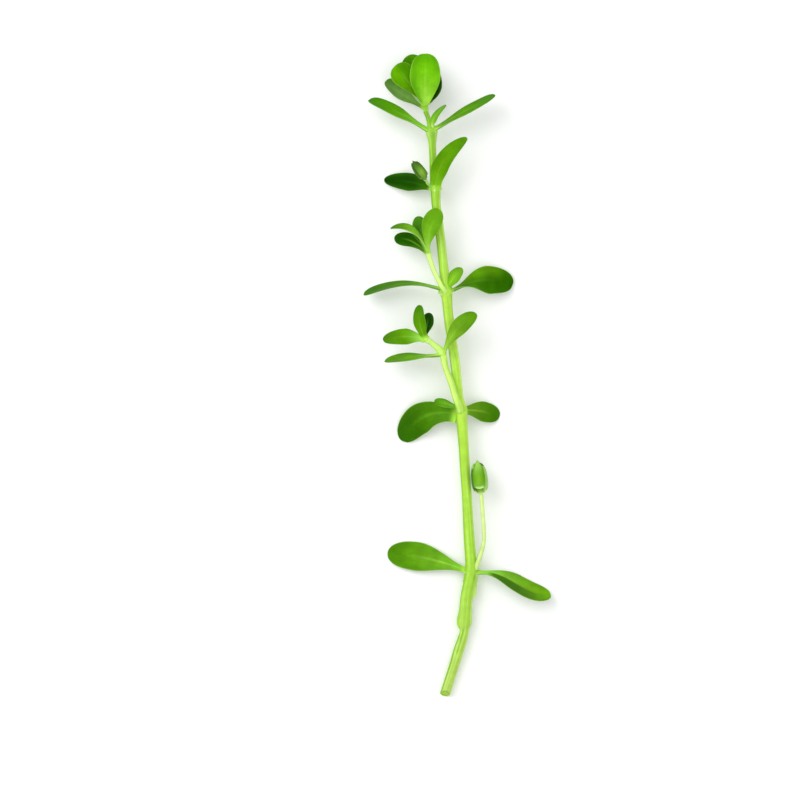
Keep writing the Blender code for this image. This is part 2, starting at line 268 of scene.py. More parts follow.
# lines that run along the stem: from and to how far up, degrees round it, how light or dark; partly the
# stem's own streaks, partly painted shade (the darker left edge, the shade under the upper shoot's leaves)
# and painted highlight strips
mainStemLinesAndShading = [
    (11.5, 21.0, -14, -1.0), (11.0, 17.0, -30, 0.6), (0.0, 19.0, -58, -1.1), (0.0, 30.0, 62, 0.7),
    (24.0, 44.0, 12, 0.4), (34.0, 37.4, 42, -0.9), (37.0, 60.0, 55, 0.35), (58.0, 86.0, 40, -0.2),
    (95.0, 103.0, -50, 0.7), (88.0, 108.0, 58, 0.9), (111.0, 127.0, 62, -1.0), (88.0, 104.0, 20, -0.4),
    (96.0, 121.0, -30, 0.5), (101.0, 121.0, 5, -0.5), (122.0, 150.0, 48, 0.55), (122.0, 140.0, -8, 0.6),
    (126.0, 154.0, -58, -0.95), (152.0, 168.0, 30, 0.35), (166.5, 171.0, -40, 0.7), (153.0, 167.0, -5, -0.4),
    (171.0, 176.5, -55, -1.0)]
# painted highlights and painted shade at the nodes, light where positive and shade in the openings between
# the leaf feet where negative: how far up, degrees round the stem, size, how light or dark
mainStemGlintsAndShade = [
    (151.65, -11, 0.36, 1.0), (169.65, -52, 0.34, 1.0), (121.8, -20, 0.5, -1.2), (37.35, 56, 0.45, -1.3),
    (36.6, 74, 0.4, 0.9), (120.4, -88, 0.4, 0.8), (120.4, 74, 0.4, 0.8)]

stemShape = {
    "sides": 36, "spacing": 0.3,
    "ribs": 7, "ribDepth": 0.022, "ribWinding": 0.05,  # faint ribs along the stem, as a share of its radius
    "unevenness": 0.018, "unevenPace": 0.22,
    "raggedness": 3, "raggedRings": 0.25, "raggedFlakes": 0.8,
    "ringAboveSides": 1.6, "ringAboveFront": 0.55,     # how far a ring runs up, highest under the leaves
    "rimBelow": 0.8, "rimWidth": 0.32, "rimAtFront": 0.35,      # a ring's pale lower edge, a painted highlight on the ledge under the leaf feet
    "flakeTaper": 0.6, "flakePaleness": 0.8,
    "swellEven": 0.85, "swellUneven": 0.3,
    "lineWidth": 13, "lineWander": 5,                  # degrees
    "wanderPace": 0.35, "lineFade": 1.5,
    "endLength": 0.9, "endLeft": 0.01,                 # how a grown end rounds off
    "cutAcross": 0.10, "cutUp": 0.66, "cutRows": 7,    # slant of the cut, and the rows that lean with it
    "grainPace": 0.05, "mergeWithin": 0.002,
}


def ringsAt(place, toSide, ragged, rings):
    # how near a ring is, how far it stands out, and how pale it is there; the pale lower rim is a painted
    # highlight
    shape = stemShape
    ringed = swell = pale = 0.0
    above = shape["ringAboveFront"] + (shape["ringAboveSides"] - shape["ringAboveFront"]) * toSide
    for y, atSides, atFront, below in rings:
        away = place.y - y - shape["raggedRings"] * ragged
        near = math.exp(-(away / (above if away > 0 else below)) ** 2)
        ringed += near
        swell += near * (atFront + (atSides - atFront) * toSide)
        fromRim = (away + below * shape["rimBelow"]) / shape["rimWidth"]
        pale += math.exp(-fromRim ** 2) * (shape["rimAtFront"] + (1 - shape["rimAtFront"]) * toSide)
    return ringed, swell, pale


def flakesAt(place, degrees, ragged, flakes):
    # how far the loose skin stands out, and how pale it is: partly its own paler torn skin, partly a painted
    # highlight on its raised edge and tip
    swell = pale = 0.0
    for low, high, middle, halfWidth, outwards in flakes:
        along = (place.y - low - stemShape["raggedFlakes"] * ragged) / (high - low)
        if 0 < along < 1:
            across = max(1 - (abs(degrees - middle) / halfWidth) ** 2, 0)
            swell += outwards * (1 - along) ** stemShape["flakeTaper"] * across
            loose = stemShape["flakePaleness"] * across * min(outwards, 1.0) ** 2
            pale += across * max((1 - along) ** 2, loose)
    return swell, pale


def linesAt(place, degrees, lines):
    tone = 0.0
    for low, high, middle, strength in lines:
        if low < place.y < high:
            ends = min((place.y - low) / stemShape["lineFade"], (high - place.y) / stemShape["lineFade"], 1.0)
            wander = stemShape["lineWander"] * math.sin(place.y * stemShape["wanderPace"] + middle)
            tone += strength * ends * math.exp(-((degrees - middle - wander) / stemShape["lineWidth"]) ** 2)
    return tone


def spotsAt(place, degrees, spots):
    # positive marks are painted highlights, negative ones painted shade
    tone = pale = 0.0
    for y, middle, size, strength in spots:
        away = math.hypot(place.y - y, math.radians(degrees - middle) * place.w)
        near = strength * math.exp(-(away / size) ** 2)
        tone += near
        pale += max(near, 0.0)
    return tone, pale


def growStem(bm, points, rings, flakes=(), lines=(), spots=(), cut=False, seed=0.0):
    # a grid rolled into a tube round the route; returns its two end faces
    shape = stemShape
    route = smoothRoute(points, shape["spacing"])
    rows = len(route) - 1
    upStem, atRing, paleSkinAndGlint, lineAndShadingTone, grain = newLayers(bm, "upStem", "atRing", "paleSkinAndGlint", "lineAndShadingTone")
    made = bmesh.ops.create_grid(bm, x_segments=shape["sides"], y_segments=rows, size=1.0)["verts"]
    for vertex in made:
        angle = math.pi * (vertex.co.x + 1)
        row = round((vertex.co.y + 1) / 2 * rows)
        place = route[row]
        right, up, ahead = frameAlong(route[min(row + 1, rows)].xyz - route[max(row - 1, 0)].xyz)
        out = up * math.cos(angle) + right * math.sin(angle)
        degrees = (math.degrees(angle) + 180) % 360 - 180
        rib = math.cos(shape["ribs"] * angle + place.y * shape["ribWinding"] + seed)
        rough = noise.noise(Vector((math.cos(angle), math.sin(angle), place.y * shape["unevenPace"] + seed)))
        ragged = noise.noise(Vector((math.cos(angle) * shape["raggedness"],
                                     math.sin(angle) * shape["raggedness"], seed)))
        ringed, ringSwell, ringPale = ringsAt(place, math.sin(angle) ** 2, ragged, rings)
        flakeSwell, flakePale = flakesAt(place, degrees, ragged, flakes)
        spotTone, spotPale = spotsAt(place, degrees, spots)
        radius = place.w * (1 + shape["ribDepth"] * rib + shape["unevenness"] * rough)
        radius += (ringSwell + flakeSwell) * (shape["swellEven"] + shape["swellUneven"] * rough)
        fromEnd = (rows - row) * shape["spacing"]
        if fromEnd < shape["endLength"]:
            radius *= math.sqrt(max(1 - (1 - fromEnd / shape["endLength"]) ** 2, shape["endLeft"]))
        vertex.co = place.xyz + out * radius
        if cut and row < shape["cutRows"]:
            slide = shape["cutUp"] * out.dot(up) + shape["cutAcross"] * out.dot(right)
            vertex.co += ahead * slide * radius * (1 - row / shape["cutRows"])
        vertex[grain] = (math.cos(angle), math.sin(angle), place.y * shape["grainPace"] + seed)
        vertex[upStem], vertex[atRing] = place.y, ringed
        vertex[paleSkinAndGlint] = min(ringPale + flakePale + spotPale, 1.0)
        vertex[lineAndShadingTone] = linesAt(place, degrees, lines) + spotTone
    bmesh.ops.remove_doubles(bm, verts=bm.verts, dist=shape["mergeWithin"])
    rims = [edge for edge in bm.edges if edge.is_boundary]
    ends = bmesh.ops.holes_fill(bm, edges=rims, sides=0)["faces"]
    bmesh.ops.recalc_face_normals(bm, faces=bm.faces)
    return ends


stemTones = {
    "ramp": [(0.0, (176, 208, 98)), (0.05, (166, 200, 78)), (0.20, (150, 206, 44)), (0.42, (170, 216, 64)),
             (0.55, (180, 226, 74)), (0.68, (172, 218, 68)), (0.86, (148, 202, 44)), (1.0, (112, 170, 34))],
    "rampLength": 178.0,
    # the dark streak tone also paints shade lines, the pale tone also paints highlight strips, and the pale
    # skin tone paints the highlights at the rings' rims and marks; shadedSide and litSide are painted shade
    # and painted light on the stem's sides
    "darkStreakAndShade": (112, 166, 26), "pale": (200, 238, 124), "ring": (150, 204, 52), "paleSkinAndGlint": (216, 246, 160),
    "shadedSide": (126, 178, 34), "litSide": (194, 232, 112),
}
# how each tone comes in: from and to of what it follows, and its strength at both
stemFades = {
    "shadedSide": (-0.55, -1.0, 0.0, 0.7), "litSide": (0.55, 0.95, 0.0, 0.55),
    "grooves": (0.50, 0.68, 0.0, 0.5), "bareEnd": (20.0, 22.0, 1.0, 0.6), "bands": (0.48, 0.68, 0.0, 0.4),
    "darkLinesAndShade": (-0.1, -1.0, 0.0, 0.8), "paleLinesAndGlints": (0.1, 1.0, 0.0, 0.85), "rings": (0.3, 1.0, 0.0, 0.45),
    "paleSkinAndGlints": (0.2, 0.9, 0.0, 0.85), "paleSkinAndGlintPatches": (0.38, 0.6, 0.25, 1.0),
    "patches": (0.3, 0.7, 0.94, 1.05), "roughness": (0.3, 0.7, 0.40, 0.56),
}
stemGrain = {
    "fibreStretch": (4.0, 4.0, 0.5), "fibres": 1.3, "fibreDetail": 4.0, "fibreRoughness": 0.62,
    "bandStretch": (1.9, 1.9, 0.8), "bands": 1.0, "patches": 420.0, "patchDetail": 3.0, "patchShare": 0.3,
    "relief": 0.5, "reliefDepth": 0.00006, "shine": 0.18,
    "glow": 0.12, "glowTint": (1.0, 1.0, 0.3), "glowReach": 0.0008,
}


def stemFinish(name, values):
    material, tree, shader = newFinish(name)
    upStem, atRing, paleSkinAndGlint, lineAndShadingTone = numbersOn(tree, "upStem", "atRing", "paleSkinAndGlint", "lineAndShadingTone")
    grain, place = grainPlace(tree), objectPlace(tree)
    sideways = wire(tree, "SeparateXYZ", {0: grain}).outputs["Y"]
    # fibres run along the stem: fine across it, long along it
    fibres = clouded(tree, stretched(tree, grain, stemGrain["fibreStretch"]), stemGrain["fibres"],
                     stemGrain["fibreDetail"], stemGrain["fibreRoughness"])
    bands = clouded(tree, stretched(tree, grain, stemGrain["bandStretch"]), stemGrain["bands"])
    patches = clouded(tree, place, stemGrain["patches"], stemGrain["patchDetail"])
    grooves = calc(tree, "MULTIPLY", fade(tree, fibres, *stemFades["grooves"]),
                   fade(tree, upStem, *stemFades["bareEnd"]))
    patchyPaleSkinAndGlint = calc(tree, "MULTIPLY", fade(tree, paleSkinAndGlint, *stemFades["paleSkinAndGlints"]),
                fade(tree, patches, *stemFades["paleSkinAndGlintPatches"]))
    tone = toneRamp(tree, calc(tree, "DIVIDE", upStem, values["rampLength"]), values["ramp"])
    # tones in turn: painted shade on one side and painted light on the other, dark streaks, pale bands, dark
    # lines that are partly painted shade, pale lines that are partly painted highlights, the rings' own
    # green, then pale skin and painted highlights at rims and marks
    for share, colour in [
            (fade(tree, sideways, *stemFades["shadedSide"]), "shadedSide"),
            (fade(tree, sideways, *stemFades["litSide"]), "litSide"),
            (grooves, "darkStreakAndShade"),
            (fade(tree, bands, *stemFades["bands"]), "pale"),
            (fade(tree, lineAndShadingTone, *stemFades["darkLinesAndShade"]), "darkStreakAndShade"),
            (fade(tree, lineAndShadingTone, *stemFades["paleLinesAndGlints"]), "pale"),
            (fade(tree, atRing, *stemFades["rings"]), "ring"),
            (patchyPaleSkinAndGlint, "paleSkinAndGlint")]:
        tone = tint(tree, tone, share, values[colour])
    height = calc(tree, "ADD", fibres, calc(tree, "MULTIPLY", patches, stemGrain["patchShare"]))
    connect(tree, shader, {
        "Base Color": lightened(tree, tone, fade(tree, patches, *stemFades["patches"])),
        "Roughness": fade(tree, fibres, *stemFades["roughness"]),
        "Normal": relief(tree, height, stemGrain["relief"], stemGrain["reliefDepth"]),
        "Specular IOR Level": stemGrain["shine"], "Subsurface Weight": stemGrain["glow"],
        "Subsurface Radius": stemGrain["glowTint"], "Subsurface Scale": stemGrain["glowReach"]})
    return material


cutTones = {
    "skin": (146, 196, 56), "flesh": (164, 212, 64), "wall": (178, 222, 86),
    "cells": 5200.0, "wallFade": (0.15, 0.6, 0.0, 1.0),
    "patches": 900.0, "patchDetail": 3.0, "patchFade": (0.45, 0.7, 0.0, 0.6),
    "relief": 0.3, "reliefDepth": 0.00004, "roughness": 0.42, "shine": 0.1, "glow": 0.1, "glowReach": 0.0006,
}


def cutFinish(name, values):
    material, tree, shader = newFinish(name)
    place = objectPlace(tree)
    cells = celled(tree, place, values["cells"])
    patches = clouded(tree, place, values["patches"], values["patchDetail"])
    tone = tint(tree, screenColour(values["flesh"]), fade(tree, cells, *values["wallFade"]), values["wall"])
    connect(tree, shader, {
        "Base Color": tint(tree, tone, fade(tree, patches, *values["patchFade"]), values["skin"]),
        "Normal": relief(tree, cells, values["relief"], values["reliefDepth"]),
        "Roughness": values["roughness"], "Specular IOR Level": values["shine"],
        "Subsurface Weight": values["glow"], "Subsurface Scale": values["glowReach"]})
    return material


stemSkin = stemFinish("stemSkin", stemTones)
cutPith = cutFinish("cutPith", cutTones)

# the cut face: a ring of skin with its air chambers behind thin walls, and a slightly raised core
cutValues = {"skinWidth": 0.17, "skinRise": 0.02, "chamberBand": 0.85, "chamberWall": 0.035,
             "chamberDepth": 0.07, "coreRise": 0.03}


def buildMainStem():
    bm = bmesh.new()
    ends = growStem(bm, mainStemRoute, mainStemRings, mainStemFlakes, mainStemLinesAndShading, mainStemGlintsAndShade,
                    cut=True)
    face = min(ends, key=lambda end: end.calc_center_median().y)
    bmesh.ops.inset_region(bm, faces=[face], thickness=cutValues["skinWidth"], depth=cutValues["skinRise"])
    chambers = bmesh.ops.inset_region(bm, faces=[face], thickness=cutValues["chamberBand"])["faces"]
    inner = bmesh.ops.inset_individual(bm, faces=chambers, thickness=cutValues["chamberWall"],
                                       depth=-cutValues["chamberDepth"])["faces"]
    core = bmesh.ops.poke(bm, faces=[face], offset=cutValues["coreRise"])["faces"]
    for cutPart in [*chambers, *inner, *core]:
        cutPart.material_index = 1
    finishPiece("mainStem", bm, ["main_stem"], [stemSkin, cutPith])


shootValues = {
    "lowerShoot": {
        "node": "lower_shoot_stem", "seed": 3.1,
        "route": [(4.3, 85.4, 6.8, 1.05), (4.1, 86.6, 8.0, 1.10), *lowerShootRoute],
        "rings": [(102.4, 0.30, 0.12, 0.4), (107.0, 0.2, 0.15, 0.4)],
        "lines": [(88.0, 101.0, -20, 0.9), (88.0, 102.0, 45, -0.8), (103.0, 107.0, 10, 0.5)],
        "tones": {"ramp": [(0.48, (186, 232, 94)), (0.60, (196, 238, 112))],
                  "darkStreakAndShade": (144, 196, 50), "pale": (220, 250, 148)}},
    "upperShoot": {
        "node": "upper_shoot_stem", "seed": 7.7,
        "route": [(0.0, 120.9, 7.2, 0.85), (-0.5, 121.9, 8.5, 0.82), *upperShootRoute],
        "rings": [(132.8, 0.24, 0.10, 0.4)],
        "lines": [(122.0, 132.0, 15, 1.0), (123.0, 133.0, -55, -0.5)],
        "tones": {"ramp": [(0.68, (196, 236, 114)), (0.75, (204, 242, 128))],
                  "darkStreakAndShade": (150, 204, 66), "pale": (226, 252, 168)}},
}


def buildShoot(name, values):
    bm = bmesh.new()
    growStem(bm, values["route"], values["rings"], lines=values["lines"], seed=values["seed"])
    skin = stemFinish(name + "Skin", {**stemTones, **values["tones"]})
    finishPiece(name, bm, [values["node"]], [skin])


buildMainStem()
for shootName, shoot in shootValues.items():
    buildShoot(shootName, shoot)
print("stems grown")


leafShape = {
    "segments": 40, "rings": 44,
    "thickness": 0.76, "tipThickness": 0.34, "baseThickness": 1.15,
    "baseReach": 0.25, "edgeRound": 0.85, "tipRound": 24,
    "baseShare": 0.17, "fullShare": 1.05, "widestAt": 0.62, "tipPower": 5.4,
    "fullness": 0.0,                                   # 1 widens at once, below 0 has a long neck
    "cup": 0.12, "depth": 0.55,                        # how deep the leaf's foot sits in the stem
    "footFlare": 0.42, "footLength": 0.045,
    "ribGroove": 0.10, "ribRidge": 0.16, "ribWidth": 0.55, "ribFade": 0.6, "ribStart": 8,
    "edgeWave": 0.018, "edgeWaves": 9, "edgeStart": 4,
    "wave": 0.16, "waves": 6.5, "waveStart": 3,
    "twist": 0, "twistReach": 0.6,                     # twist: how much further the foot leans
    "sway": 0.0,                                       # towards the top at the foot, back at the tip
    "grainAcross": 0.5, "grainAlong": 0.07, "seedStep": 1.7,
}


def leafHalfWidth(shape, t, seed):
    reach = min(t / shape["widestAt"], 1.0)
    even = eased(reach)
    rise = even + shape["fullness"] * (math.sin(reach * math.pi / 2) - even)
    share = shape["baseShare"] + (shape["fullShare"] - shape["baseShare"]) * rise
    halfWidth = shape["width"] / 2 * share * math.sqrt(max(1 - t ** shape["tipPower"], 0.0))
    halfWidth += shape["footFlare"] * math.exp(-t / shape["footLength"])
    wave = math.sin(shape["edgeWaves"] * t + seed) * min(shape["edgeStart"] * t, 1)
    return halfWidth * (1 + shape["edgeWave"] * wave)


def leafThickness(shape, t):
    thick = shape["baseThickness"]
    thick += (shape["thickness"] - shape["baseThickness"]) * min(t / shape["baseReach"], 1.0)
    thick += (shape["tipThickness"] - shape["thickness"]) * max(t - 0.5, 0) * 2
    return thick * math.sqrt(max(1 - t ** shape["tipRound"], 0.0))


def ballPlace(vertex):
    # how far from pole to pole a point lies, how far across, and how much it faces up
    t = min(max((1 + vertex.co.z) / 2, 0.0), 1.0)
    ring = math.hypot(vertex.co.x, vertex.co.y)
    if ring > 0.001:
        return t, -vertex.co.x / ring, vertex.co.y / ring
    return t, 0.0, 0.0


def growLeaf(bm, base, values, seed):
    # a ball drawn out along a curve from the base through the middle to the tip, and flattened
    shape = {**leafShape, **values}
    middle, tip = Vector(shape["middle"]), Vector(shape["tip"])
    bend = middle * 2 - (base + tip) / 2
    length = (middle - base).length + (tip - middle).length
    alongLeaf, acrossLeaf, upperFace, grain = newLayers(bm, "alongLeaf", "acrossLeaf", "upperFace")
    ball = bmesh.ops.create_uvsphere(bm, u_segments=shape["segments"], v_segments=shape["rings"], radius=1.0)
    for vertex in ball["verts"]:
        t, across, face = ballPlace(vertex)
        centre = base * (1 - t) ** 2 + bend * 2 * t * (1 - t) + tip * t ** 2
        centre.y += shape["sway"] * math.sin(2 * math.pi * t)
        heading = (bend - base) * (1 - t) + (tip - bend) * t
        heading.y += shape["sway"] * math.pi * math.cos(2 * math.pi * t)
        right, up, ahead = frameAlong(heading)
        turn = shape["turn"] + shape["twist"] * (1 - eased(t / shape["twistReach"]))
        lean = Matrix.Rotation(math.radians(turn), 3, ahead)
        right, up = lean @ right, lean @ up
        halfWidth = leafHalfWidth(shape, t, seed)
        toRib = across * halfWidth / shape["ribWidth"]
        rib = math.exp(-toRib * toRib) * (1 - t) ** shape["ribFade"] * min(t * shape["ribStart"], 1)
        lift = leafThickness(shape, t) / 2 * math.copysign(abs(face) ** shape["edgeRound"], face)
        lift += shape["cup"] * halfWidth * across ** 2
        lift -= rib * (shape["ribGroove"] if face > 0 else shape["ribRidge"])
        wave = math.sin(shape["waves"] * t + seed * 2 + across) * min(t * shape["waveStart"], 1)
        lift += shape["wave"] * across ** 2 * wave
        vertex.co = centre + right * halfWidth * across + up * lift
        vertex[alongLeaf], vertex[acrossLeaf], vertex[upperFace] = t, across, face
        vertex[grain] = (across * halfWidth * shape["grainAcross"], t * length * shape["grainAlong"], seed)


leafLook = {
    "toneStops": (0.02, 0.27, 0.58, 0.96),             # where along the leaf its four tones lie
    "rib": (168, 222, 84), "ribStrength": 0.45, "ribBand": 0.20, "ribFrom": 0.1, "ribReach": 0.85,
    "edgeTone": (60, 118, 6), "edgeStrength": 0.30, "edgeBand": (0.35, 0.95),
    "rim": (160, 206, 84), "rimStrength": 0.55, "rimFrom": 0.93, "rimAtTip": 0.985,
    "under": (104, 152, 60), "underStrength": 0.8, "underBand": (0.05, -0.15),
    "foot": (166, 222, 70), "footReach": 0.11, "footStrength": 0.9, "footWidth": 2.0, "footSoftness": 0.3,
    # painted shade over one half of the blade, such as a neighbour's shadow or the half turned from the
    # light; on thirdRight a painted lighter half
    "halfShading": None,                                      # tone, from and to across, from and to along, strength
    "halfShadingFoot": 0.0, "halfShadingSoftness": 0.12,             # how far along the painted half shading starts
    "shades": None,                                    # darkest and palest tone of parts with a shade
    "gloss": 0.40, "glossSpread": (-0.06, 0.10), "glossBand": (0.3, 0.7), "shine": 0.03,
}
# how each effect comes in: from and to of what it follows, and its strength at both
leafFades = {
    "edgeAlong": (0.1, 0.4, 0.2, 1.0), "shadesAlong": (0.74, 0.9, 1.0, 0.0),
    "streaks": (0.3, 0.7, 0.96, 1.04), "clouds": (0.3, 0.7, 0.88, 1.11), "dots": (0.0, 0.45, 0.90, 1.03),
}
leafGrain = {
    "streakStretch": (2.6, 0.8, 1.0), "streaks": 2.0, "streakDetail": 3.0, "clouds": 260.0, "dots": 2300.0,
    "streakShare": 0.7, "dotShare": 0.35, "relief": 0.45, "reliefDepth": 0.00007,
    "glow": 0.08, "glowTint": (0.8, 1.0, 0.3), "glowReach": 0.0006,
}


def leafFinish(name, values):
    look = {**leafLook, **values}
    material, tree, shader = newFinish(name)
    along, across, face = numbersOn(tree, "alongLeaf", "acrossLeaf", "upperFace")
    place = objectPlace(tree)
    fromRib = calc(tree, "ABSOLUTE", across)
    tone = toneRamp(tree, along, list(zip(look["toneStops"], look["tones"])))
    # the margins darker: painted shade
    edge = calc(tree, "MULTIPLY", fade(tree, fromRib, *look["edgeBand"], 0.0, look["edgeStrength"]),
                fade(tree, along, *leafFades["edgeAlong"]))
    tone = tint(tree, tone, edge, look["edgeTone"])
    # painted shade over one half of the blade, on thirdRight painted light
    if look["halfShading"]:
        halfShadingTone, fromAcross, toAcross, fromAlong, toAlong, strength = look["halfShading"]
        half = calc(tree, "MULTIPLY", fade(tree, across, fromAcross, toAcross, 0.0, strength),
                    fade(tree, along, fromAlong, toAlong, 1.0, 0.0))
        start = look["halfShadingFoot"] - look["halfShadingSoftness"]
        half = calc(tree, "MULTIPLY", half, fade(tree, along, start, look["halfShadingFoot"], 0.0, 1.0))
        tone = tint(tree, tone, half, halfShadingTone)
    if look["shades"]:
        shade = numbersOn(tree, "shade")[0]
        shade = calc(tree, "MULTIPLY", shade, fade(tree, along, *leafFades["shadesAlong"]))
        for darkOrPale, colour in zip((-1.0, 1.0), look["shades"]):
            tone = tint(tree, tone, fade(tree, shade, 0.0, darkOrPale, 0.0, 1.0), colour)
    # light midrib, widest at the foot of the leaf
    band = calc(tree, "MULTIPLY", fade(tree, fromRib, 0.0, look["ribBand"], look["ribStrength"], 0.0),
                fade(tree, along, look["ribFrom"], look["ribReach"], 1.0, 0.0))
    tone = tint(tree, tone, band, look["rib"])
    footEdge = look["footWidth"] - look["footSoftness"]
    foot = calc(tree, "MULTIPLY", fade(tree, along, 0.0, look["footReach"], look["footStrength"], 0.0),
                fade(tree, fromRib, footEdge, look["footWidth"], 1.0, 0.0))
    tone = tint(tree, tone, foot, look["foot"])
    under = fade(tree, face, *look["underBand"], 0.0, look["underStrength"])
    tone = tint(tree, tone, under, look["under"])
    # soft streaks along the blade, cloudy patches across it and small dots
    streaks = clouded(tree, stretched(tree, grainPlace(tree), leafGrain["streakStretch"]),
                      leafGrain["streaks"], leafGrain["streakDetail"])
    clouds = clouded(tree, place, leafGrain["clouds"])
    dots = celled(tree, place, leafGrain["dots"])
    value = calc(tree, "MULTIPLY", fade(tree, streaks, *leafFades["streaks"]),
                 fade(tree, clouds, *leafFades["clouds"]))
    value = calc(tree, "MULTIPLY", value, fade(tree, dots, *leafFades["dots"]))
    tone = lightened(tree, tone, value)
    # the thin rim is paler: partly the margin's own tone, partly a painted highlight along the edge
    rim = calc(tree, "MAXIMUM", fade(tree, fromRib, look["rimFrom"], 1.0, 0.0, look["rimStrength"]),
               fade(tree, along, look["rimAtTip"], 1.0, 0.0, look["rimStrength"]))
    height = calc(tree, "ADD", calc(tree, "MULTIPLY", streaks, leafGrain["streakShare"]),
                  calc(tree, "MULTIPLY", dots, leafGrain["dotShare"]))
    gloss = [look["gloss"] + spread for spread in look["glossSpread"]]
    connect(tree, shader, {
        "Base Color": tint(tree, tone, rim, look["rim"]),
        "Roughness": fade(tree, clouds, *look["glossBand"], *gloss),
        "Normal": relief(tree, height, leafGrain["relief"], leafGrain["reliefDepth"]),
        "Specular IOR Level": look["shine"], "Subsurface Weight": leafGrain["glow"],
        "Subsurface Radius": leafGrain["glowTint"], "Subsurface Scale": leafGrain["glowReach"]})
    return material
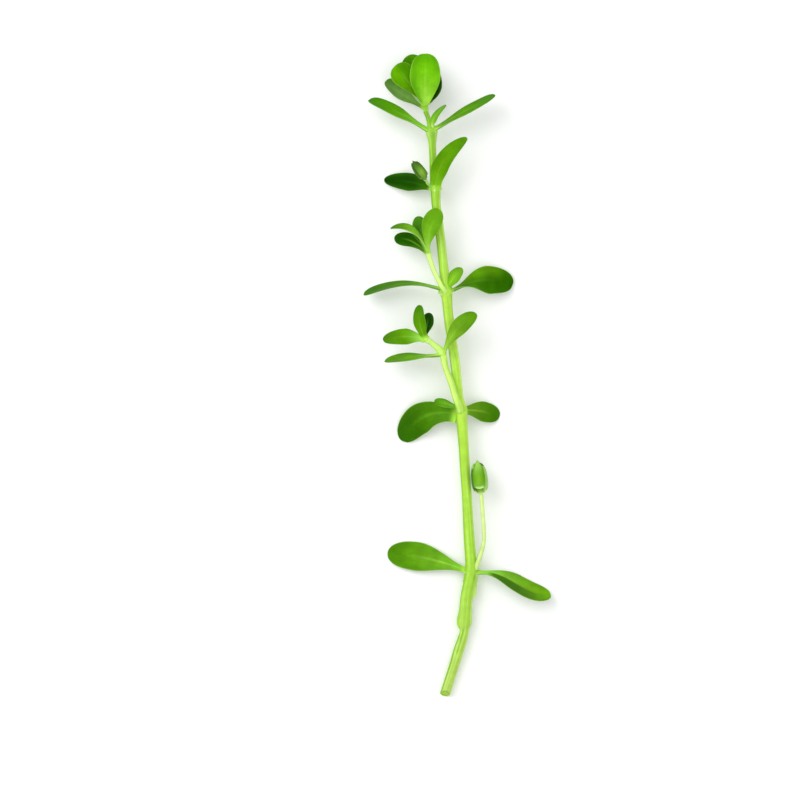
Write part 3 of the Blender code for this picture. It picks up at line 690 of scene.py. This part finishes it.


# at: how far up its stem a leaf grows; side: degrees round the stem from straight up; turn: how it leans
# round its own length; tones: from the foot to the tip, with the light or shade each leaf lies in painted in;
# the dark leaves under the others are partly painted shade
leaves = {
    "firstLeft": {
        "node": "first_left_leaf", "slot": "leaf_bright", "stem": "main", "at": 37.2, "side": -96,
        "middle": (-6.2, 41.2, 0.9), "tip": (-17.5, 42.3, 0.3), "width": 8.8, "turn": 8,
        "tones": [(116, 182, 42), (102, 160, 30), (93, 153, 10), (68, 124, 2)]},
    "firstRight": {
        "node": "first_right_leaf", "slot": "leaf_mid", "stem": "main", "at": 37.2, "side": 92,
        "middle": (21.0, 33.6, 4.0), "tip": (31.66, 30.3, 2.4), "width": 7.6, "turn": -50,
        "sway": 1.1, "fullness": -1.0, "baseShare": 0.25, "widestAt": 0.5, "tipPower": 8.0,
        "tones": [(140, 205, 70), (118, 180, 45), (104, 156, 22), (98, 156, 6)],
        "halfShading": ((50, 96, 2), -0.10, 0.15, 0.40, 1.10, 0.92), "halfShadingFoot": 0.24, "ribStrength": 0.2},
    "secondLeft": {
        "node": "second_left_leaf", "slot": "leaf_dark", "stem": "main", "at": 84.6, "side": -104,
        "middle": (-6.7, 83.7, 2.4), "tip": (-12.5, 76.2, 0.2), "width": 9.0, "turn": 4, "baseShare": 0.55,
        "tones": [(84, 145, 20), (76, 134, 6), (54, 106, 0), (44, 98, 0)], "rib": (112, 172, 40)},
    "secondRight": {
        "node": "second_right_leaf", "slot": "leaf_mid", "stem": "main", "at": 85.5, "side": 98,
        "middle": (10.5, 85.4, 2.6), "tip": (16.3, 83.8, 0.1), "width": 6.2, "turn": -10, "baseShare": 0.4,
        "tones": [(100, 150, 28), (98, 148, 26), (70, 124, 6), (56, 106, 2)]},
    "secondYoung": {
        "node": "second_young_leaf", "slot": "leaf_mid", "stem": "main", "at": 86.6, "side": -52,
        "middle": (-0.3, 87.8, 7.9), "tip": (-3.4, 88.5, 7.4), "width": 2.8, "turn": 22,
        "baseShare": 0.35, "widestAt": 0.55, "tipPower": 3.4,
        "tones": [(128, 190, 60), (112, 174, 42), (86, 148, 18), (70, 130, 8)]},
    "thirdLeft": {
        "node": "third_left_leaf", "slot": "leaf_mid", "stem": "main", "at": 122.0, "side": -92,
        "middle": (-12.0, 123.6, 6.2), "tip": (-24.7, 120.5, 4.6), "width": 6.4, "turn": 68, "twist": 16,
        "fullness": -0.8, "baseShare": 0.3, "widestAt": 0.9, "tipPower": 16.0, "rimStrength": 0.2,
        "shine": 0.012, "tones": [(156, 214, 78), (92, 154, 30), (66, 120, 6), (54, 112, 0)]},
    "thirdRight": {
        "node": "third_right_leaf", "slot": "leaf_dark", "stem": "main", "at": 121.2, "side": 86,
        "middle": (11.2, 124.7, 4.4), "tip": (20.2, 123.4, 0.9), "width": 8.6, "turn": -10, "twist": -75,
        "shine": 0.012, "tones": [(110, 170, 40), (66, 124, 10), (46, 102, 0), (38, 90, 0)],
        "ribStrength": 0.1, "halfShading": ((92, 146, 12), 0.1, -0.7, 0.55, 0.95, 0.8)},
    "thirdYoung": {
        "node": "third_young_leaf", "slot": "leaf_mid", "stem": "main", "at": 122.6, "side": 44,
        "middle": (2.7, 125.7, 9.7), "tip": (4.9, 128.3, 10.3), "width": 4.4, "turn": -28,
        "baseShare": 0.35, "widestAt": 0.55, "tipPower": 3.0,
        "tones": [(124, 180, 38), (124, 182, 34), (108, 166, 26), (96, 148, 32)]},
    "fourthFront": {
        "node": "fourth_front_leaf", "slot": "leaf_bright", "stem": "main", "at": 152.1, "side": 8,
        "middle": (-0.7, 160.3, 11.4), "tip": (6.4, 167.2, 12.6), "width": 5.4, "turn": -8, "depth": 1.1,
        "baseShare": 0.55, "widestAt": 0.42, "tipPower": 2.6,
        "tones": [(122, 188, 26), (92, 150, 4), (84, 142, 0), (78, 134, 0)], "ribStrength": 0.12},
    "fourthLeft": {
        "node": "fourth_left_leaf", "slot": "leaf_dark", "stem": "main", "at": 152.1, "side": -112,
        "middle": (-11.0, 154.3, 2.9), "tip": (-18.5, 155.0, 0.3), "width": 5.7, "turn": 12,
        "baseShare": 0.2, "widestAt": 0.5, "tipPower": 3.1,
        "shine": 0.012, "tones": [(70, 122, 14), (24, 72, 0), (22, 70, 0), (14, 58, 0)],
        "rib": (56, 112, 20), "rim": (90, 140, 50)},
    "fifthLeft": {
        "node": "fifth_left_leaf", "slot": "leaf_mid", "stem": "main", "at": 169.8, "side": -86,
        "middle": (-14.9, 175.1, 7.8), "tip": (-23.1, 178.8, 6.8), "width": 7.0, "turn": 63, "twist": 10,
        "baseShare": 0.42, "widestAt": 0.5, "tipPower": 12.0, "rimStrength": 0.3,
        "shine": 0.012, "tones": [(142, 212, 50), (116, 188, 24), (92, 164, 4), (60, 130, 0)]},
    "fifthRight": {
        "node": "fifth_right_leaf", "slot": "leaf_mid", "stem": "main", "at": 169.8, "side": 86,
        "middle": (5.9, 175.2, 8.4), "tip": (14.9, 180.2, 8.6), "width": 5.8, "turn": -66,
        "baseShare": 0.35, "widestAt": 0.6, "tipPower": 14.0, "rimStrength": 0.3,
        "shine": 0.012, "tones": [(136, 200, 56), (84, 140, 12), (86, 148, 4), (58, 122, 0)]},
    "fifthYoung": {
        "node": "fifth_young_leaf", "slot": "leaf_bright", "stem": "main", "at": 170.6, "side": 40,
        "middle": (-3.2, 173.6, 10.6), "tip": (0.1, 177.1, 11.2), "width": 2.4, "turn": -20,
        "baseShare": 0.22, "widestAt": 0.45, "tipPower": 1.9, "depth": 0.3, "footFlare": 0.15,
        "tones": [(150, 205, 70), (126, 188, 44), (94, 156, 18), (96, 148, 52)],
        # the pale foot is a painted highlight
        "foot": (206, 240, 140), "footReach": 0.25},
    "topFront": {
        "node": "top_front_leaf", "slot": "leaf_bright", "stem": "main", "at": 177.4, "side": 0,
        "middle": (-6.2, 184.6, 13.2), "tip": (-6.0, 192.3, 13.9), "width": 8.8, "turn": 0,
        "fullness": 1.0, "baseShare": 0.2, "tipPower": 7.0,
        "tones": [(162, 218, 74), (132, 202, 38), (112, 190, 4), (84, 162, 0)],
        "halfShading": ((84, 158, 4), -0.15, -0.85, 0.35, 0.75, 0.85)},
    "topLeft": {
        "node": "top_left_leaf", "slot": "leaf_bright", "stem": "main", "at": 177.4, "side": -70,
        "middle": (-11.3, 183.9, 10.8), "tip": (-15.3, 188.7, 11.9), "width": 8.0, "turn": 18,
        "fullness": -0.5, "widestAt": 0.8, "tipPower": 7.0,
        "tones": [(80, 132, 6), (90, 150, 4), (100, 170, 2), (96, 162, 0)],
        "halfShading": ((58, 124, 0), -0.35, 0.35, 0.8, 1.3, 0.6)},
    "topRight": {
        "node": "top_right_leaf", "slot": "leaf_dark", "stem": "main", "at": 177.4, "side": 100,
        "middle": (-2.7, 181.8, 8.8), "tip": (-2.9, 188.4, 9.0), "width": 5.6, "turn": -58,
        "tones": [(24, 66, 0), (26, 68, 0), (34, 80, 2), (44, 90, 6)],
        "rim": (60, 100, 30), "under": (40, 84, 20)},
    "topBack": {
        "node": "top_back_leaf", "slot": "leaf_dark", "stem": "main", "at": 177.4, "side": 180,
        "middle": (-8.4, 184.8, 6.4), "tip": (-11.2, 192.2, 7.4), "width": 9.0, "turn": 8,
        "tones": [(56, 110, 4), (60, 120, 0), (70, 136, 0), (78, 146, 4)], "rim": (110, 170, 60)},
    "topPale": {
        "node": "top_pale_leaf", "slot": "leaf_pale", "stem": "main", "at": 176.2, "side": -120,
        "middle": (-13.3, 181.1, 6.7), "tip": (-18.0, 184.6, 6.6), "width": 7.6, "turn": 128,
        "shine": 0.012, "tones": [(84, 124, 40), (106, 148, 64), (112, 154, 78), (70, 112, 38)],
        "halfShading": ((60, 106, 18), 0.15, -0.75, 1.0, 1.4, 0.8), "halfShadingFoot": 0.6, "edgeStrength": 0.0,
        "ribStrength": 0.12, "underStrength": 0.1,
        "rim": (190, 220, 140), "rimStrength": 0.95, "rimFrom": 0.8},
    "upperShootFront": {
        "node": "upper_shoot_front_leaf", "slot": "leaf_bright", "stem": "upper", "at": 133.2, "side": 10,
        "middle": (-4.7, 140.1, 11.9), "tip": (-1.7, 145.7, 12.2), "width": 6.1, "turn": -6,
        "widestAt": 0.7, "tones": [(160, 212, 80), (110, 168, 24), (104, 166, 22), (98, 158, 12)],
        "ribStrength": 0.25},
    "upperShootLeft": {
        "node": "upper_shoot_left_leaf", "slot": "leaf_mid", "stem": "upper", "at": 133.2, "side": -80,
        "middle": (-10.1, 139.7, 10.2), "tip": (-16.6, 140.1, 9.0), "width": 4.6, "turn": 64, "twist": 18,
        "baseShare": 0.35, "widestAt": 0.45, "tipPower": 3.2,
        "shine": 0.012, "tones": [(168, 222, 88), (148, 206, 62), (112, 174, 26), (52, 100, 2)]},
    "upperShootLow": {
        "node": "upper_shoot_low_leaf", "slot": "leaf_dark", "stem": "upper", "at": 132.6, "side": -128,
        "middle": (-10.7, 136.5, 6.4), "tip": (-15.4, 137.0, 4.8), "width": 4.8, "turn": 24,
        "shine": 0.012, "tones": [(96, 150, 22), (42, 98, 2), (32, 90, 0), (26, 78, 0)],
        "rim": (80, 130, 50)},
    "upperShootBack": {
        "node": "upper_shoot_back_leaf", "slot": "leaf_mid", "stem": "upper", "at": 133.4, "side": 176,
        "middle": (-7.4, 138.8, 6.9), "tip": (-8.1, 144.0, 6.6), "width": 4.8, "turn": 6,
        "tones": [(30, 80, 0), (34, 88, 0), (50, 110, 0), (86, 146, 30)]},
    "lowerShootFront": {
        "node": "lower_shoot_front_leaf", "slot": "leaf_bright", "stem": "lower", "at": 102.6, "side": 30,
        "middle": (3.3, 109.6, 11.8), "tip": (9.2, 114.6, 12.2), "width": 6.0, "turn": -32,
        "widestAt": 0.68, "tones": [(158, 204, 78), (120, 166, 38), (100, 152, 20), (78, 134, 6)],
        "ribStrength": 0.25},
    "lowerShootLeft": {
        "node": "lower_shoot_left_leaf", "slot": "leaf_mid", "stem": "lower", "at": 102.4, "side": -96,
        "middle": (-9.8, 101.6, 8.0), "tip": (-18.4, 100.4, 6.8), "width": 5.8, "turn": 67, "twist": 14,
        "baseShare": 0.3, "widestAt": 0.75, "tipPower": 12.0, "rimStrength": 0.3,
        "shine": 0.012, "tones": [(186, 236, 86), (106, 168, 28), (98, 158, 20), (80, 138, 0)]},
    "lowerShootEndLeft": {
        "node": "lower_shoot_end_left_leaf", "slot": "leaf_bright", "stem": "lower", "at": 107.3, "side": -60,
        "middle": (-12.8, 107.7, 10.0), "tip": (-18.8, 106.7, 9.2), "width": 5.0, "turn": 16,
        "baseShare": 0.35, "widestAt": 0.45, "tipPower": 3.4,
        "tones": [(168, 224, 98), (94, 156, 10), (88, 146, 0), (68, 122, 0)],
        "rib": (150, 212, 84), "ribStrength": 0.3},
    "lowerShootEndUp": {
        "node": "lower_shoot_end_up_leaf", "slot": "leaf_bright", "stem": "lower", "at": 107.3, "side": 30,
        "middle": (-7.9, 112.6, 11.4), "tip": (-7.6, 117.2, 11.6), "width": 3.8, "turn": -10,
        "baseShare": 0.5, "widestAt": 0.5, "tipPower": 3.4,
        "tones": [(100, 158, 14), (84, 142, 2), (84, 144, 2), (60, 120, 6)], "ribStrength": 0.25},
    "lowerShootEndBack": {
        "node": "lower_shoot_end_back_leaf", "slot": "leaf_dark", "stem": "lower", "at": 107.3, "side": 150,
        "middle": (-5.6, 111.2, 6.6), "tip": (-5.0, 115.0, 5.2), "width": 3.8, "turn": -10,
        "tones": [(30, 84, 0), (28, 80, 0), (20, 70, 0), (14, 60, 0)], "rim": (70, 116, 40)},
}
stemRoutes = {"main": mainStemRoute, "upper": upperShootRoute, "lower": lowerShootRoute}


def buildLeaf(name, values, seed):
    bm = bmesh.new()
    depth = values.get("depth", leafShape["depth"])
    base = placeOn(stemRoutes[values["stem"]], values["at"], values["side"], depth)
    growLeaf(bm, base, values, seed)
    finishPiece(name + "Leaf", bm, [values["node"]], [leafFinish(name + "Green", values)])


for count, (leafName, leaf) in enumerate(leaves.items()):
    buildLeaf(leafName, leaf, leafShape["seedStep"] * count)
print("leaves grown:", len(leaves))


budValues = {
    "lower": {"node": "lower_bud", "base": (10.6, 60.5, 7.4), "tip": (9.5, 70.9, 7.7), "width": 5.1,
              "stalkNode": "lower_bud_pedicel", "stalkFrom": ("main", 37.9, 62), "stalkRadius": 0.6,
              "stalk": [(11.3, 45.4, 6.2), (11.4, 50.4, 6.8), (10.9, 57.0, 7.3), (10.65, 60.8, 7.4)],
              # degrees round the bud, half width, start, end, lift, how far the tip bends out, shade
              "sepals": [(-4, 56, 0.17, 1.00, 0.12, 0.04, 0.0), (-66, 42, 0.05, 0.92, 0.02, 0.45, -0.9),
                         (62, 42, 0.05, 0.84, 0.04, 0.12, 0.9), (134, 52, 0.05, 0.92, 0.06, 0.10, -0.3),
                         (-140, 52, 0.05, 0.90, 0.06, 0.10, -0.5)],
              "tones": [(112, 170, 56), (104, 160, 0), (96, 156, 0), (160, 208, 96)],
              # the pale foot is a painted highlight, a white crescent where the sepals meet the stalk
              "foot": (222, 252, 160), "footWidth": 0.75, "rim": (190, 224, 124), "rimStrength": 0.75,
              "shades": ((44, 104, 4), (150, 194, 100))},
    "upper": {"node": "upper_bud", "base": (-5.95, 154.9, 9.2), "tip": (-10.1, 160.5, 9.5), "width": 3.3,
              "stalkNode": "upper_bud_pedicel", "stalkFrom": ("main", 152.7, -62), "stalkRadius": 0.37,
              "stalk": [(-5.5, 153.7, 8.9), (-5.8, 154.5, 9.1), (-6.05, 155.1, 9.2)],
              "sepals": [(12, 50, 0.12, 1.00, 0.10, 0.03, 0.0), (-58, 46, 0.12, 0.94, 0.02, 0.20, -0.8),
                         (80, 44, 0.12, 0.90, 0.04, 0.10, -0.6), (148, 52, 0.12, 0.92, 0.06, 0.08, -0.5),
                         (-134, 52, 0.12, 0.92, 0.06, 0.08, -0.7)],
              "tones": [(84, 112, 26), (118, 166, 50), (72, 118, 18), (52, 82, 12)],
              "foot": (104, 150, 56), "footWidth": 2.0, "rim": (62, 84, 20), "rimStrength": 0.85,
              "shades": ((48, 80, 14), (130, 180, 60))},
}
budShape = {
    "neckShare": 0.25, "basePower": 4.0, "widestAt": 0.44, "pointReach": 2.2, "pointPower": 0.8,
    "bodyShare": 0.90, "bodyLength": 0.94, "bodySides": 28, "sepalSides": 20, "rings": 24,
    "sepalThickness": 0.16, "sepalAtFoot": 0.85, "sepalWidens": 0.4, "sepalPoint": 2.2, "sepalHem": 0.06,
    "outlineReach": 0.97, "bendFrom": 0.72, "bendPower": 1.5, "curl": 0.10,
    "tipRound": 30, "leastRadius": 0.02,
    "stalkDepth": 0.4, "stalkFoot": 1.3, "stalkSeed": 11.0,
}
budLook = {"rib": (150, 206, 70), "ribStrength": 0.15, "ribBand": 0.35, "ribReach": 1.1, "footReach": 0.12,
           "edgeStrength": 0.6, "gloss": 0.34, "shine": 0.12}
stalkRamp = [(0.0, (206, 232, 140)), (0.2, (206, 232, 140)), (0.3, (216, 238, 156)), (0.5, (216, 238, 156)),
             (0.8, (140, 194, 96))]


def budRadius(t):
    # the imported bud's outline: a neck at the stalk, widest below the middle, then a drawn out point
    widest = budShape["widestAt"]
    t = min(max(t, 0.0), 1.0)
    if t < widest:
        return 1 - (1 - budShape["neckShare"]) * (1 - t / widest) ** budShape["basePower"]
    return (1 - ((t - widest) / (1 - widest)) ** budShape["pointReach"]) ** budShape["pointPower"]


def growBud(bm, values):
    shape = budShape
    base, tip = Vector(values["base"]), Vector(values["tip"])
    right, up, ahead = frameAlong(tip - base)
    length = (tip - base).length
    inner = values["width"] / 2 - shape["sepalThickness"]
    alongLeaf, acrossLeaf, upperFace, shade, grain = newLayers(
        bm, "alongLeaf", "acrossLeaf", "upperFace", "shade")
    body = bmesh.ops.create_uvsphere(bm, u_segments=shape["bodySides"], v_segments=shape["rings"], radius=1.0)
    for vertex in body["verts"]:
        t, across, face = ballPlace(vertex)
        out = (up * face + right * across) * inner * budRadius(t) * shape["bodyShare"]
        vertex[alongLeaf], vertex[acrossLeaf], vertex[upperFace] = t, vertex.co.x, 1.0
        vertex[grain] = (vertex.co.x, vertex.co.y, t * 2)
        vertex.co = base + ahead * length * t * shape["bodyLength"] + out
    for number, (middle, spread, start, end, lift, bend, sepalShade) in enumerate(values["sepals"]):
        sepal = bmesh.ops.create_uvsphere(bm, u_segments=shape["sepalSides"], v_segments=shape["rings"],
                                          radius=1.0)
        for vertex in sepal["verts"]:
            t, across, face = ballPlace(vertex)
            halfWidth = shape["sepalAtFoot"] + shape["sepalWidens"] * t
            halfWidth *= spread * math.sqrt(max(1 - t ** shape["sepalPoint"], 0.0))
            angle = math.radians(middle + halfWidth * across)
            alongBud = start + (end - start) * t + shape["sepalHem"] * (across * (1 - t)) ** 2
            radius = inner * budRadius(alongBud * shape["outlineReach"])
            radius += shape["sepalThickness"] * (face + 1) / 2 + lift - shape["curl"] * across ** 2
            radius += bend * (max(t - shape["bendFrom"], 0) / (1 - shape["bendFrom"])) ** shape["bendPower"]
            radius = max(radius * math.sqrt(max(1 - t ** shape["tipRound"], 0.0)), shape["leastRadius"])
            out = up * math.cos(angle) + right * math.sin(angle)
            vertex[alongLeaf], vertex[acrossLeaf], vertex[upperFace] = t, across, face
            vertex[shade] = sepalShade
            vertex[grain] = (across, t * 1.5, number)
            vertex.co = base + ahead * length * alongBud + out * radius


def buildBud(name, values):
    bm = bmesh.new()
    growBud(bm, values)
    own = {kind: values[kind] for kind in ("tones", "foot", "footWidth", "rim", "rimStrength", "shades")}
    green = leafFinish(name + "BudGreen", {**budLook, "under": values["tones"][1], **own})
    finishPiece(name + "Bud", bm, [values["node"]], [green])
    stemName, y, side = values["stalkFrom"]
    foot = placeOn(stemRoutes[stemName], y, side, budShape["stalkDepth"])
    radius = values["stalkRadius"]
    route = [(*foot, radius * budShape["stalkFoot"]), *[(*place, radius) for place in values["stalk"]]]
    bm = bmesh.new()
    growStem(bm, route, [], seed=budShape["stalkSeed"])
    finishPiece(name + "BudStalk", bm, [values["stalkNode"]], [stalkSkin])


stalkSkin = stemFinish("stalkSkin", {**stemTones, "ramp": stalkRamp})
for budName, bud in budValues.items():
    buildBud(budName, bud)
print("buds grown")


tableValues = {"size": 1.6, "drop": 0.0001, "tone": (0.93, 0.93, 0.93, 1.0), "roughness": 0.9, "shine": 0.1,
               "clouds": 30.0, "cloudFade": (0.2, 0.8, 0.995, 1.005)}


def buildTable():
    material, tree, shader = newFinish("paleTable")
    faint = clouded(tree, objectPlace(tree), tableValues["clouds"])
    value = fade(tree, faint, *tableValues["cloudFade"])
    connect(tree, shader, {
        "Base Color": lightened(tree, tableValues["tone"], value),
        "Roughness": tableValues["roughness"], "Specular IOR Level": tableValues["shine"]})
    bm = bmesh.new()
    bmesh.ops.create_grid(bm, x_segments=1, y_segments=1, size=tableValues["size"])
    mesh = bpy.data.meshes.new("table")
    bm.to_mesh(mesh)
    bm.free()
    mesh.materials.append(material)
    table = bpy.data.objects.new("table", mesh)
    table.location.z = -tableValues["drop"]
    bpy.context.scene.collection.objects.link(table)


buildTable()
